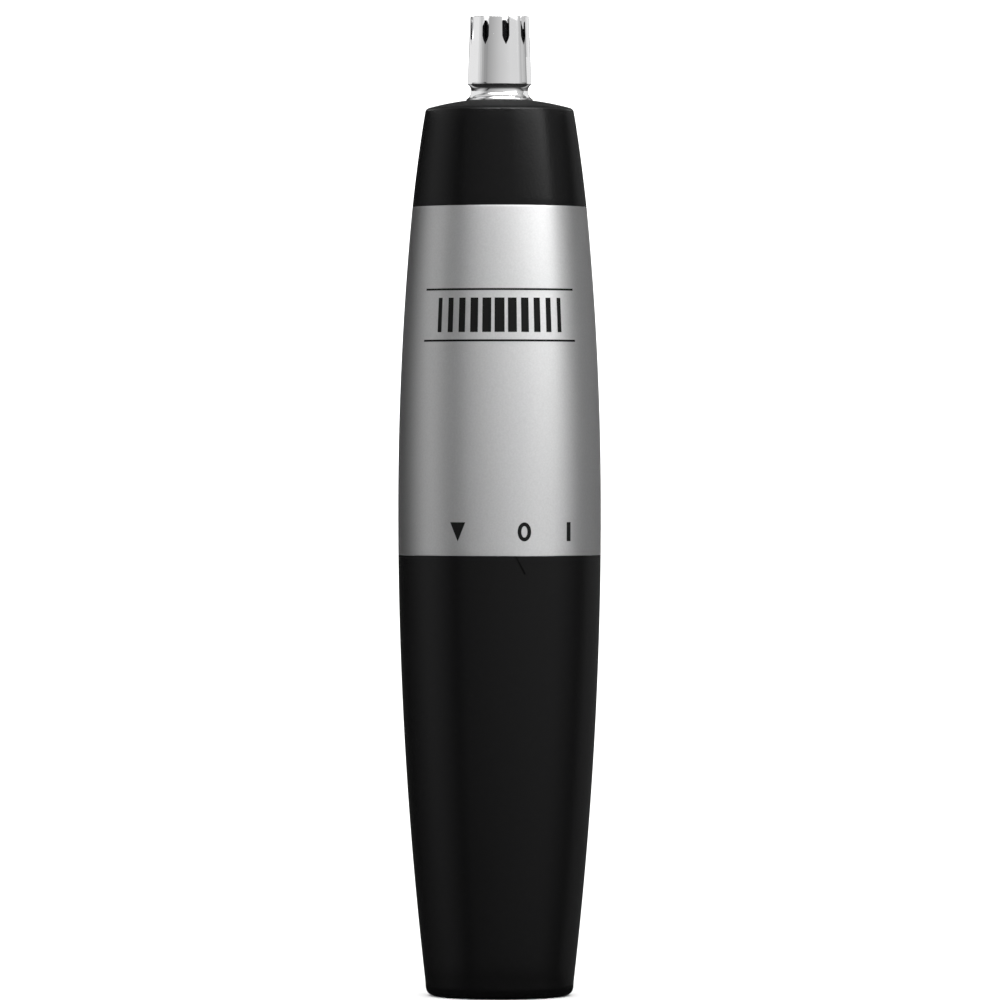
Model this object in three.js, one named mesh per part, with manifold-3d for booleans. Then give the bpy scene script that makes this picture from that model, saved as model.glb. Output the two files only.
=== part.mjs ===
// Battery-powered nose hair trimmer, in millimetres, standing on its battery cover.
// The axis is +Z, from the flat base up to the cutting head. -Y is the front, +X the right-hand side.
import * as THREE from 'three';
import { mergeVertices } from 'three/addons/utils/BufferGeometryUtils.js';
import Module from 'manifold-3d';

const wasm = await Module();
wasm.setup();

// ---------------------------------------------------------------- driving dimensions

const SEGMENTS = 36; // facets round a large turned piece: four to each slot of the guard
const SMALL_SEGMENTS = 24; // facets round a small turned piece
const GAP = 0.3; // free space between pieces that touch

const BELLY = { radius: 14, height: 67, curveAbove: 440, curveBelow: 565 };
const COVER_TOP = 60.65;
const HOUSING_BOTTOM = COVER_TOP + GAP;
const HOUSING_TOP = 108.65;
const CAP_BOTTOM = HOUSING_TOP + GAP;
const GUARD_TOP = 135;

const COVER_WALL = 1.6;
const COVER_FLOOR = 2;
const COVER_BORE = 11.3;
const HOUSING_WALL = 1.8;
const CAP_BORE = 9.6;

const COVER_TURN = { toOpen: -38.1, toOn: 28.4 }; // degrees from the off position
const CAP_TURN = 25; // degrees from locked to free
const LUG_CLEARANCE = 1.2; // degrees left at each end of a bayonet channel
const LUG_ROOM = 0.4; // free height behind a lug in its channel
const OVERLAP = 0.5; // how far a joined or cut shape reaches into its neighbour
const BEYOND = 1; // how far a cutting shape reaches past the surface it opens

const SPIGOT = { radius: 10.9, bore: 8.2, bottom: 49.5 };
const COVER_SEAL = { height: 50.9, radius: 10.53, section: 0.58 };
const COVER_LUG = { radius: 11.9, halfAngle: 10, bottom: 52.5, top: 54.3, angles: [0, 180] };

const NECK = { radius: 9.2, bore: 6, top: 115 };
const HEAD_SEAL = { height: 113, radius: 8.83, section: 0.58 };
const NECK_LUG = { radius: 10.1, halfAngle: 9, bottom: 109.7, top: 111.1, angles: [90, 270] };

const BATTERY = { radius: 7.2, bottom: 6.5, length: 50.5, nubRadius: 2.75, nubHeight: 1.25 };

const MOTOR = { radius: 10.05, halfDepth: 7.55, bottom: 66.9, top: 89.9, wall: 0.8 };
const BEARING = { radius: 2.2, seat: 2.35, boss: 3, bottom: 62.6, top: 65.4 };
const MAGNET = { halfAngle: 42, bottom: 69, top: 86 };
const COMMUTATOR = { radius: 2.4, bottom: 66.8, top: 69.2, slitTop: 68.9 };
const SHAFT_RADIUS = 1;
const BUSH_BORE = SHAFT_RADIUS + 0.15;
const ARMATURE = { radius: 6.2, bottom: 71, top: 83, poles: 3 };

const DOG = { inner: 2.6, outer: 4.6, angle: 50, lead: 5 };

const GUARD = {
  slots: 9,
  firstSlot: 12.1,
  slotHalfWidth: 0.5,
  slotShoulder: 132.2,
  slotFoot: 131,
  bore: 3.45,
  topRadius: 4.03,
  bottomRadius: 4.42,
};
const BLADE = { radius: 3.2, wall: 0.5, bottom: 128.6, floor: 129.2, top: 134.4, teeth: 7, firstTooth: 11.6 };

// ---------------------------------------------------------------- shape helpers

const radians = THREE.MathUtils.degToRad;

// Merges shared corners, drops triangles without area, and turns every face outward.
function closed(geometry) {
  geometry.deleteAttribute('normal');
  geometry.deleteAttribute('uv');
  const merged = mergeVertices(geometry, 1e-5);
  const position = merged.getAttribute('position');
  const corner = (index) => new THREE.Vector3().fromBufferAttribute(position, index);
  const triangles = [];
  let volume = 0;
  for (let i = 0; i < merged.index.count; i += 3) {
    const [a, b, c] = [0, 1, 2].map((step) => merged.index.getX(i + step));
    if (a === b || b === c || c === a) continue;
    triangles.push([a, b, c]);
    volume += corner(a).dot(corner(b).cross(corner(c)));
  }
  const outward = volume < 0 ? triangles.map(([a, b, c]) => [a, c, b]) : triangles;
  merged.setIndex(outward.flat());
  return merged;
}

function toManifold(geometry) {
  const vertProperties = new Float32Array(geometry.getAttribute('position').array);
  const triVerts = new Uint32Array(geometry.index.array);
  return new wasm.Manifold(new wasm.Mesh({ numProp: 3, vertProperties, triVerts }));
}

function fromManifold(solid) {
  const mesh = solid.getMesh();
  const geometry = new THREE.BufferGeometry();
  geometry.setAttribute('position', new THREE.BufferAttribute(new Float32Array(mesh.vertProperties), 3));
  geometry.setIndex(Array.from(mesh.triVerts));
  return geometry;
}

function join(first, ...others) {
  return fromManifold(others.reduce((sum, geometry) => sum.add(toManifold(geometry)), toManifold(first)));
}

function cut(first, ...others) {
  return fromManifold(others.reduce((rest, geometry) => rest.subtract(toManifold(geometry)), toManifold(first)));
}

function common(first, second) {
  return fromManifold(toManifold(first).intersect(toManifold(second)));
}

// A turned solid. The profile is a list of [radius, height], from the axis back to the axis.
function lathe(profile, segments = SEGMENTS) {
  const points = profile.map(([radius, height]) => new THREE.Vector2(radius, height));
  return closed(new THREE.LatheGeometry(points, segments).rotateX(Math.PI / 2));
}

// A turned solid with a hole along its axis. The profile is closed here.
function latheRing(profile, segments = SEGMENTS) {
  return lathe([...profile, profile[0]], segments);
}

function rod(radius, bottom, top, segments = SMALL_SEGMENTS) {
  return lathe([[0, bottom], [radius, bottom], [radius, top], [0, top]], segments);
}

function tube(inner, outer, bottom, top, segments = SMALL_SEGMENTS) {
  return latheRing([[inner, bottom], [outer, bottom], [outer, top], [inner, top]], segments);
}

function arc(radius, height, size, fromDegrees, toDegrees, steps) {
  const points = [];
  for (let i = 0; i <= steps; i += 1) {
    const angle = radians(fromDegrees + ((toDegrees - fromDegrees) * i) / steps);
    points.push([radius + size * Math.cos(angle), height + size * Math.sin(angle)]);
  }
  return points;
}

function ringSeal({ radius, section, height }) {
  const circle = arc(radius, height, section, 0, 360, 8);
  return lathe([...circle.slice(0, -1), circle[0]]);
}

function box(x, y, z) {
  const size = [x, y, z].map(([low, high]) => high - low);
  const centre = [x, y, z].map(([low, high]) => (low + high) / 2);
  return closed(new THREE.BoxGeometry(...size).translate(...centre));
}

function extrude(shape, bottom, top, curveSegments = 8) {
  const options = { depth: top - bottom, bevelEnabled: false, curveSegments };
  return closed(new THREE.ExtrudeGeometry(shape, options).translate(0, 0, bottom));
}

// An outline in X and Z, given as [x, z] points, pushed through from y = front to y = back.
function extrudeAlongY(outline, front, back) {
  const shape = new THREE.Shape(outline.map(([x, z]) => new THREE.Vector2(x, z)));
  const geometry = new THREE.ExtrudeGeometry(shape, { depth: back - front, bevelEnabled: false });
  return closed(geometry.rotateX(Math.PI / 2).translate(0, back, 0));
}

function sector(inner, outer, fromDegrees, toDegrees, bottom, top, curveSegments = 8) {
  const shape = new THREE.Shape();
  shape.absarc(0, 0, outer, radians(fromDegrees), radians(toDegrees), false);
  shape.absarc(0, 0, inner, radians(toDegrees), radians(fromDegrees), true);
  return extrude(shape, bottom, top, curveSegments);
}

function turned(geometry, degrees) {
  return geometry.clone().rotateZ(radians(degrees));
}

// A coil whose radius and height change evenly along its turns.
class Coil extends THREE.Curve {
  constructor({ radiusStart, radiusEnd, bottom, top, turns }) {
    super();
    Object.assign(this, { radiusStart, radiusEnd, bottom, top, turns });
  }

  getPoint(t, target = new THREE.Vector3()) {
    const angle = t * this.turns * 2 * Math.PI;
    const radius = THREE.MathUtils.lerp(this.radiusStart, this.radiusEnd, t);
    const height = THREE.MathUtils.lerp(this.bottom, this.top, t);
    return target.set(radius * Math.cos(angle), radius * Math.sin(angle), height);
  }
}

function spring(coil, wireRadius) {
  const section = new THREE.Shape();
  section.absarc(0, 0, wireRadius, 0, 2 * Math.PI, false);
  const options = { steps: Math.round(coil.turns * 12), extrudePath: new Coil(coil), curveSegments: 3 };
  return closed(new THREE.ExtrudeGeometry(section, options));
}

function evenly(count, build) {
  return Array.from({ length: count }, (_, index) => build(index));
}

// ---------------------------------------------------------------- the outer outline

function bellyRadius(height) {
  const away = height - BELLY.height;
  const curve = away > 0 ? BELLY.curveAbove : BELLY.curveBelow;
  return BELLY.radius - (away * away) / (2 * curve);
}

function bellyOutline(from, to, steps, inset = 0) {
  return evenly(steps + 1, (index) => {
    const height = from + ((to - from) * index) / steps;
    return [bellyRadius(height) - inset, height];
  });
}

function coverInnerRadius(height) {
  return Math.min(COVER_BORE, bellyRadius(height) - COVER_WALL);
}

const BORE_START = BELLY.height
  - Math.sqrt(2 * BELLY.curveBelow * (BELLY.radius - COVER_WALL - COVER_BORE));

// ---------------------------------------------------------------- battery compartment

function batteryCover() {
  const corner = 1.2;
  const edge = 0.2;
  const shell = lathe([
    [0, 0],
    ...arc(bellyRadius(corner) - corner, corner, corner, -90, 0, 4),
    ...bellyOutline(corner, COVER_TOP - edge, 9).slice(1),
    [bellyRadius(COVER_TOP) - edge, COVER_TOP],
    [COVER_BORE, COVER_TOP],
    ...bellyOutline(BORE_START, COVER_FLOOR, 3, COVER_WALL),
    [0, COVER_FLOOR],
  ]);
  const rib = { count: 4, first: 45, inner: BATTERY.radius + 0.4, top: 46, halfWidth: 0.6 };
  const ribOutline = [
    [rib.inner, COVER_FLOOR / 2],
    ...bellyOutline(COVER_FLOOR / 2, rib.top, 5, COVER_WALL / 2),
    [rib.inner, rib.top],
  ];
  const ribSolid = extrudeAlongY(ribOutline, -rib.halfWidth, rib.halfWidth);
  const ribs = evenly(rib.count, (index) => turned(ribSolid, rib.first + (360 / rib.count) * index));
  const reach = COVER_LUG.halfAngle + LUG_CLEARANCE;
  const channels = COVER_LUG.angles.map((angle) => sector(
    COVER_BORE - OVERLAP,
    COVER_LUG.radius + GAP,
    angle - COVER_TURN.toOn - reach,
    angle - COVER_TURN.toOpen + reach,
    COVER_LUG.bottom - LUG_ROOM,
    COVER_TOP + BEYOND,
  ));
  return cut(join(shell, ...ribs), ...channels);
}

function negativeSpring() {
  const wire = 0.35;
  const bottom = COVER_FLOOR + 2 * wire;
  const top = BATTERY.bottom - 2 * wire;
  return spring({ radiusStart: 5.4, radiusEnd: 2.6, bottom, top, turns: 3.5 }, wire);
}

// A bent strip on the back wall of the cover: a foot under the spring, a riser, and a tongue on top.
const STRIP = { thickness: 0.3, halfWidth: 1.5, offWall: 0.45, footInner: 6.3, tongueInner: 8.6, tongueTop: 48.4 };

function contactStrip() {
  const wall = (height, inset) => [coverInnerRadius(height) - STRIP.offWall - inset, height];
  const foot = COVER_FLOOR + GAP;
  const heights = [6, 14, 22, BORE_START];
  const { thickness, tongueTop } = STRIP;
  const outline = [
    [STRIP.footInner, foot],
    wall(foot, 0.1),
    ...heights.map((height) => wall(height, 0)),
    wall(tongueTop, 0),
    [STRIP.tongueInner, tongueTop],
    [STRIP.tongueInner, tongueTop - thickness],
    wall(tongueTop - thickness, thickness),
    ...heights.toReversed().map((height) => wall(height, thickness)),
    wall(foot + thickness, thickness + 0.1),
    [STRIP.footInner, foot + thickness],
  ];
  return turned(extrudeAlongY(outline, -STRIP.halfWidth, STRIP.halfWidth), 90);
}

function batteryCell() {
  const besideNub = 0.15;
  const top = BATTERY.bottom + BATTERY.length - BATTERY.nubHeight - besideNub;
  const edge = 0.5;
  return lathe([
    [0, BATTERY.bottom],
    [BATTERY.radius - edge, BATTERY.bottom],
    [BATTERY.radius, BATTERY.bottom + edge],
    [BATTERY.radius, top - edge],
    [BATTERY.radius - edge, top],
    [0, top],
  ], 32);
}

function batteryCap() {
  const top = BATTERY.bottom + BATTERY.length;
  const edge = 0.3;
  return lathe([
    [0, top - BATTERY.nubHeight],
    [BATTERY.nubRadius, top - BATTERY.nubHeight],
    [BATTERY.nubRadius, top - edge],
    [BATTERY.nubRadius - edge, top],
    [0, top],
  ], SMALL_SEGMENTS);
}

// ---------------------------------------------------------------- housing and chassis

function housingShell() {
  const edge = 0.2;
  const outer = bellyOutline(HOUSING_BOTTOM + edge, HOUSING_TOP - edge, 9);
  const inner = bellyOutline(HOUSING_TOP, HOUSING_BOTTOM, 4, HOUSING_WALL);
  return latheRing([
    [bellyRadius(HOUSING_BOTTOM) - edge, HOUSING_BOTTOM],
    ...outer,
    [bellyRadius(HOUSING_TOP) - edge, HOUSING_TOP],
    ...inner,
  ]);
}

const CHASSIS = {
  wallBottom: 58.2,
  wallTop: 60.4,
  flangeRadius: 11.85,
  flangeBottom: 61.3,
  flangeTop: 63.3,
  cradleRadius: 11,
  cradleBore: 10.35,
  plateBottom: 90.5,
  plateTop: 92.5,
  bossHole: 3.4,
  collarRadius: 9.95,
  collarBottom: 104,
  collarTop: 107.5,
};

// The groove that holds a ring seal, as profile points from its lower to its upper edge.
function sealGroove(seal, surface) {
  const floor = seal.radius - seal.section - 0.1;
  const half = seal.section + 0.12;
  return [
    [surface, seal.height - half],
    [floor, seal.height - half],
    [floor, seal.height + half],
    [surface, seal.height + half],
  ];
}

const MOTOR_SCREW = { offset: 4.4, hole: 1.1, shank: 0.8, head: 1.4, bottom: 88.6 };
const TERMINAL = { x: 5, thickness: 0.3, halfWidth: 1, bottom: 61.6 };
const POSITIVE_HALF_WIDTH = 1.5;
const SWITCH = { angle: 90 + COVER_TURN.toOn, halfAngle: 8, inner: 7.65, outer: 10.3, riser: 0.3 };

function motorChassis() {
  const c = CHASSIS;
  const neckEdge = 0.3;
  const lower = lathe([
    [0, c.wallBottom],
    [SPIGOT.bore, c.wallBottom],
    [SPIGOT.bore, SPIGOT.bottom],
    [SPIGOT.radius, SPIGOT.bottom],
    ...sealGroove(COVER_SEAL, SPIGOT.radius),
    [SPIGOT.radius, c.flangeBottom],
    [c.flangeRadius, c.flangeBottom],
    [c.flangeRadius, c.flangeTop],
    [c.cradleRadius, c.flangeTop],
    [c.cradleRadius, c.plateTop],
    [NECK.radius, c.plateTop + 2],
    [NECK.radius, c.collarBottom],
    [c.collarRadius, c.collarBottom],
    [c.collarRadius, c.collarTop],
    [NECK.radius, c.collarTop],
    ...sealGroove(HEAD_SEAL, NECK.radius),
    [NECK.radius, NECK.top - neckEdge],
    [NECK.radius - neckEdge, NECK.top],
    [NECK.bore, NECK.top],
    [NECK.bore, c.plateTop],
    [c.bossHole, c.plateTop],
    [c.bossHole, c.plateBottom],
    [c.cradleBore, c.plateBottom],
    [c.cradleBore, c.wallTop],
    [0, c.wallTop],
  ]);
  const lug = ({ radius, halfAngle, bottom, top, angles }, root) => angles.map(
    (angle) => sector(root - OVERLAP, radius, angle - halfAngle, angle + halfAngle, bottom, top, 4),
  );
  const lugs = [...lug(COVER_LUG, SPIGOT.radius), ...lug(NECK_LUG, NECK.radius)];
  const aside = c.flangeRadius + BEYOND;
  const openBack = box([-aside, aside], [0.5, aside], [c.flangeTop + GAP, c.plateBottom - GAP]);
  const screwHole = rod(MOTOR_SCREW.hole, c.plateBottom - BEYOND, c.plateTop + BEYOND, 12);
  const screwHoles = [-1, 1].map((side) => screwHole.clone().translate(0, side * MOTOR_SCREW.offset, 0));
  const positiveSlot = box(
    [TERMINAL.x - GAP, TERMINAL.x + TERMINAL.thickness + GAP],
    [-POSITIVE_HALF_WIDTH - GAP, POSITIVE_HALF_WIDTH + GAP],
    [c.wallBottom - BEYOND, c.wallTop + BEYOND],
  );
  const slotHalfAngle = SWITCH.halfAngle + 2;
  const negativeSlot = sector(
    SWITCH.inner - GAP,
    SWITCH.inner + SWITCH.riser + GAP,
    SWITCH.angle - slotHalfAngle,
    SWITCH.angle + slotHalfAngle,
    c.wallBottom - BEYOND,
    c.wallTop + BEYOND,
    4,
  );
  return cut(join(lower, ...lugs), openBack, ...screwHoles, positiveSlot, negativeSlot);
}

// A flat spring under the chassis wall: an arch that meets the battery and a riser to the motor.
function positiveContact() {
  const arch = { centre: BATTERY.bottom + BATTERY.length + 0.35, end: CHASSIS.wallBottom - 0.45 };
  const top = TERMINAL.bottom - 0.35;
  const { x, thickness } = TERMINAL;
  return extrudeAlongY([
    [-4.5, arch.end],
    [-2.2, arch.centre],
    [2.2, arch.centre],
    [4.2, arch.end],
    [x + thickness, arch.end],
    [x + thickness, top],
    [x, top],
    [x, arch.end + thickness],
    [4.1, arch.end + thickness],
    [2, arch.centre + thickness],
    [-2, arch.centre + thickness],
    [-4.5, arch.end + thickness],
  ], -POSITIVE_HALF_WIDTH, POSITIVE_HALF_WIDTH);
}

// The switch contact: a pad that the cover's strip reaches in the on position, a riser and an arm.
function switchContact() {
  const { angle, halfAngle, inner, outer, riser } = SWITCH;
  const padBottom = SPIGOT.bottom - 0.75;
  const armBottom = CHASSIS.wallTop + 0.35;
  const armTop = armBottom + 0.4;
  const pad = sector(inner, outer, angle - halfAngle, angle + halfAngle, padBottom, padBottom + 0.4, 4);
  const post = sector(inner, inner + riser, angle - halfAngle, angle + halfAngle, padBottom, armTop, 4);
  const start = new THREE.Vector2(inner + riser / 2, 0).rotateAround(new THREE.Vector2(), radians(angle));
  const end = new THREE.Vector2(-TERMINAL.x - TERMINAL.thickness / 2, -0.8);
  const side = end.clone().sub(start).normalize().rotateAround(new THREE.Vector2(), Math.PI / 2);
  const corners = [[start, 1], [start, -1], [end, -1], [end, 1]].map(
    ([point, sign]) => point.clone().addScaledVector(side, sign),
  );
  const arm = extrude(new THREE.Shape(corners), armBottom, armTop);
  return join(pad, post, arm);
}

// ---------------------------------------------------------------- motor

// A round solid with the motor's two flats, at the front and the back.
function withFlats(geometry, halfDepth) {
  return common(geometry, box([-20, 20], [-halfDepth, halfDepth], [50, 110]));
}

function motorCan() {
  const { radius, halfDepth, bottom, top, wall } = MOTOR;
  const body = withFlats(rod(radius, bottom, top, SEGMENTS), halfDepth);
  const bossTop = top + 1.9;
  const boss = rod(BEARING.boss, top - OVERLAP, bossTop);
  const inside = withFlats(rod(radius - wall, bottom - BEYOND, top - wall, SEGMENTS), halfDepth - wall);
  const bearingSeat = rod(BEARING.seat, top - wall - BEYOND, bossTop + BEYOND);
  const screwHole = rod(MOTOR_SCREW.hole, top - wall - BEYOND, top + BEYOND, 12);
  const screwHoles = [-1, 1].map((side) => screwHole.clone().translate(0, side * MOTOR_SCREW.offset, 0));
  return cut(join(body, boss), inside, bearingSeat, ...screwHoles);
}

function motorEndCap() {
  const top = MOTOR.bottom - GAP;
  const plateBottom = top - 2.3;
  const bossBottom = top - 4.3;
  const slot = { halfThickness: 0.4, halfWidth: TERMINAL.halfWidth + GAP };
  const plate = withFlats(rod(MOTOR.radius, plateBottom, top, SEGMENTS), MOTOR.halfDepth);
  const boss = rod(BEARING.boss, bossBottom, plateBottom + OVERLAP);
  const seat = rod(BEARING.seat, bossBottom - BEYOND, top + BEYOND);
  const slots = [-1, 1].map((side) => {
    const x = side * (TERMINAL.x + TERMINAL.thickness / 2);
    return box(
      [x - slot.halfThickness, x + slot.halfThickness],
      [-slot.halfWidth, slot.halfWidth],
      [plateBottom - BEYOND, top + BEYOND],
    );
  });
  return cut(join(plate, boss), seat, ...slots);
}

function fieldMagnet(side) {
  const { halfAngle, bottom, top } = MAGNET;
  const middle = side > 0 ? 0 : 180;
  const inner = ARMATURE.radius + 0.4;
  const outer = MOTOR.radius - MOTOR.wall - 0.25;
  return sector(inner, outer, middle - halfAngle, middle + halfAngle, bottom, top, 10);
}

// A carbon brush on its bent spring strip, which ends below as a terminal.
function motorBrush(side) {
  const { x, thickness, bottom, halfWidth } = TERMINAL;
  const bend = MOTOR.bottom + 0.2;
  const inner = COMMUTATOR.radius + 0.35;
  const top = COMMUTATOR.top - 0.4;
  const outline = [
    [x, bottom],
    [x + thickness, bottom],
    [x + thickness, bend + thickness],
    [inner + thickness, bend + thickness],
    [inner + thickness, top],
    [inner, top],
    [inner, bend],
    [x, bend],
  ];
  return turned(extrudeAlongY(outline, -halfWidth, halfWidth), side > 0 ? 0 : 180);
}

function motorScrew(side) {
  const headBottom = CHASSIS.plateTop + 0.15;
  const headTop = CHASSIS.plateTop + 1.1;
  const slot = { bottom: CHASSIS.plateTop + 0.75, halfWidth: 0.2 };
  const head = rod(MOTOR_SCREW.head, headBottom, headTop, 16);
  const shank = rod(MOTOR_SCREW.shank, MOTOR_SCREW.bottom, headBottom + 0.35, 12);
  const driverSlot = box([-2, 2], [-slot.halfWidth, slot.halfWidth], [slot.bottom, headTop + BEYOND]);
  return cut(join(head, shank), driverSlot).translate(0, side * MOTOR_SCREW.offset, 0);
}

function armatureCore() {
  const { radius, bottom, top, poles } = ARMATURE;
  const pitch = 360 / poles;
  const hub = rod(2.2, bottom, top);
  const stem = { halfWidth: 0.8, start: SHAFT_RADIUS };
  const shoe = { thickness: 1, halfAngle: 46 };
  const stemSolid = box([stem.start, radius - OVERLAP], [-stem.halfWidth, stem.halfWidth], [bottom, top]);
  const shoeSolid = sector(radius - shoe.thickness, radius, -shoe.halfAngle, shoe.halfAngle, bottom, top, 10);
  const arms = evenly(poles, (index) => turned(join(stemSolid, shoeSolid), 90 + pitch * index));
  return cut(join(hub, ...arms), rod(BUSH_BORE, bottom - BEYOND, top + BEYOND));
}

function armatureWinding(index) {
  const { radius, bottom, top, poles } = ARMATURE;
  const coil = box([2.8, 4.5], [-2, 2], [bottom - 1.6, top + 1.6]);
  const stemRoom = 1.1;
  const stem = box([1, radius + BEYOND], [-stemRoom, stemRoom], [bottom - GAP, top + GAP]);
  return turned(cut(coil, stem), 90 + (360 / poles) * index);
}

function commutator() {
  const { radius, bottom, top, slitTop } = COMMUTATOR;
  const pitch = 360 / ARMATURE.poles;
  const body = tube(BUSH_BORE, radius, bottom, top);
  const slit = box([radius - 0.5, radius + BEYOND], [-0.15, 0.15], [bottom - BEYOND, slitTop]);
  return cut(body, ...evenly(ARMATURE.poles, (index) => turned(slit, 30 + pitch * index)));
}

// ---------------------------------------------------------------- drive coupling

const DOG_HUB = 2.2;
const DRIVE_DOG = { bottom: 93.4, discBottom: 95.8, discTop: 97.2, fingerTop: 101.2 };
const CUTTER_DOG = { fingerBottom: 97.6, discBottom: 101.6, discTop: 103, top: 106 };

function dogFingers(start, bottom, top) {
  return [0, 180].map((turn) => sector(DOG.inner, DOG.outer, start + turn, start + turn + DOG.angle, bottom, top, 5));
}

function driveDog() {
  const { bottom, discBottom, discTop, fingerTop } = DRIVE_DOG;
  const hub = rod(DOG_HUB, bottom, discTop);
  const disc = rod(DOG.outer, discBottom, discTop);
  const fingers = dogFingers(-DOG.angle / 2, discTop - OVERLAP, fingerTop);
  return cut(join(hub, disc, ...fingers), rod(BUSH_BORE, bottom - BEYOND, discTop + BEYOND));
}

function cutterDog() {
  const { fingerBottom, discBottom, discTop, top } = CUTTER_DOG;
  const disc = rod(DOG.outer, discBottom, discTop);
  const hub = rod(DOG_HUB, discBottom, top);
  const fingers = dogFingers(DOG.angle / 2 + DOG.lead, fingerBottom, discBottom + OVERLAP);
  return cut(join(disc, hub, ...fingers), rod(BUSH_BORE, discBottom - BEYOND, top + BEYOND));
}

// ---------------------------------------------------------------- cutting head

const CAP = { radius: 12, slope: 0.13, domeTop: 123.72, domeCurve: 72, stemHole: 3.9, roof: 121.3 };
const CAP_RECESS = { radius: 8, bottom: 115.6 };

function capRadius(height) {
  return CAP.radius - CAP.slope * (height - CAP_BOTTOM);
}

// The top of the cap is slightly domed; its height falls with the square of the radius.
function capDome(radius) {
  return CAP.domeTop - (radius * radius) / CAP.domeCurve;
}

function headCap() {
  const edge = 0.2;
  const round = 0.7;
  const shoulder = capRadius(122) - round;
  const shoulderHeight = capDome(shoulder) - round;
  const shell = latheRing([
    [CAP_BORE, CAP_BOTTOM],
    [capRadius(CAP_BOTTOM) - edge, CAP_BOTTOM],
    [capRadius(CAP_BOTTOM + edge), CAP_BOTTOM + edge],
    ...arc(shoulder, shoulderHeight, round, 8, 82, 4),
    ...[8.4, 7.2, 6, 4.8, CAP.stemHole].map((radius) => [radius, capDome(radius)]),
    [CAP.stemHole, CAP.roof],
    [CAP_RECESS.radius, CAP.roof],
    [CAP_RECESS.radius, CAP_RECESS.bottom],
    [CAP_BORE, CAP_RECESS.bottom],
  ]);
  const reach = NECK_LUG.halfAngle + LUG_CLEARANCE;
  const channels = NECK_LUG.angles.map((angle) => sector(
    CAP_BORE - OVERLAP,
    NECK_LUG.radius + GAP,
    angle - CAP_TURN - reach,
    angle + reach,
    CAP_BOTTOM - BEYOND,
    NECK_LUG.top + LUG_ROOM,
  ));
  return cut(shell, ...channels);
}

// One slot of the guard, facing the front: straight sides, open above, and a pointed foot.
function guardSlot() {
  const { slotHalfWidth, slotShoulder, slotFoot, bottomRadius, bore } = GUARD;
  return extrudeAlongY([
    [-slotHalfWidth, GUARD_TOP + BEYOND],
    [-slotHalfWidth, slotShoulder],
    [0, slotFoot],
    [slotHalfWidth, slotShoulder],
    [slotHalfWidth, GUARD_TOP + BEYOND],
  ], -bottomRadius - BEYOND, -bore + 0.8);
}

function cuttingGuard() {
  const stem = { radius: 3.6, bore: 2.9, bottom: 118.2 };
  const foot = { radius: 4.5, bottom: 123.85 };
  const step = 124.4;
  const body = latheRing([
    [stem.bore, stem.bottom],
    [stem.radius, stem.bottom],
    [stem.radius, foot.bottom],
    [foot.radius, foot.bottom],
    [4.14, 124.2],
    [3.93, 124.6],
    [3.92, 125],
    [4.1, 125.35],
    [GUARD.bottomRadius, 125.6],
    [GUARD.topRadius + 0.02, GUARD_TOP - 0.1],
    [GUARD.topRadius - 0.08, GUARD_TOP],
    [GUARD.bore, GUARD_TOP],
    [GUARD.bore, step],
    [stem.bore, step],
  ]);
  const slots = evenly(GUARD.slots, (index) => turned(guardSlot(), GUARD.firstSlot + (360 / GUARD.slots) * index));
  return cut(body, ...slots);
}

function cutterBush() {
  const bush = { radius: 2.7, bottom: 119, flangeRadius: 3.2, flangeBottom: 124.55, top: 125.1 };
  return latheRing([
    [BUSH_BORE, bush.bottom],
    [bush.radius, bush.bottom],
    [bush.radius, bush.flangeBottom],
    [bush.flangeRadius, bush.flangeBottom],
    [bush.flangeRadius, bush.top],
    [BUSH_BORE, bush.top],
  ], SMALL_SEGMENTS);
}

function rotaryBlade() {
  const { radius, wall, bottom, floor, top, teeth, firstTooth } = BLADE;
  const edge = 0.3;
  const cup = latheRing([
    [BUSH_BORE, bottom],
    [radius - edge, bottom],
    [radius, bottom + edge],
    [radius, top],
    [radius - wall, top],
    [radius - wall, floor],
    [BUSH_BORE, floor],
  ], SEGMENTS);
  const valley = { halfWidth: 0.7, height: top - 1.05, openHalfWidth: 1.64 };
  const gash = { halfWidth: 0.35, foot: 131.2 };
  const notch = extrudeAlongY([
    [-valley.openHalfWidth, top + BEYOND],
    [-valley.halfWidth, valley.height],
    [-gash.halfWidth, valley.height],
    [-gash.halfWidth, gash.foot],
    [gash.halfWidth, gash.foot],
    [gash.halfWidth, valley.height],
    [valley.halfWidth, valley.height],
    [valley.openHalfWidth, top + BEYOND],
  ], -radius - BEYOND, -radius / 2);
  const notches = evenly(teeth, (index) => turned(notch, firstTooth + (360 / teeth) * (index + 0.5)));
  return cut(cup, ...notches);
}

function cutterSpring() {
  return spring({ radiusStart: 1.9, radiusEnd: 1.9, bottom: 125.6, top: 128.1, turns: 3 }, 0.25);
}

function spindleClip() {
  const clip = { radius: 2.4, bottom: 118, top: 118.6, openHalfWidth: 0.9 };
  const open = box(
    [-clip.openHalfWidth, clip.openHalfWidth],
    [-clip.radius - BEYOND, 0],
    [clip.bottom - BEYOND, clip.top + BEYOND],
  );
  return cut(tube(BUSH_BORE, clip.radius, clip.bottom, clip.top), open);
}

// ---------------------------------------------------------------- materials and assembly

function material(color, roughness, metalness) {
  return new THREE.MeshStandardMaterial({ color, roughness, metalness, flatShading: true });
}

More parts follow.
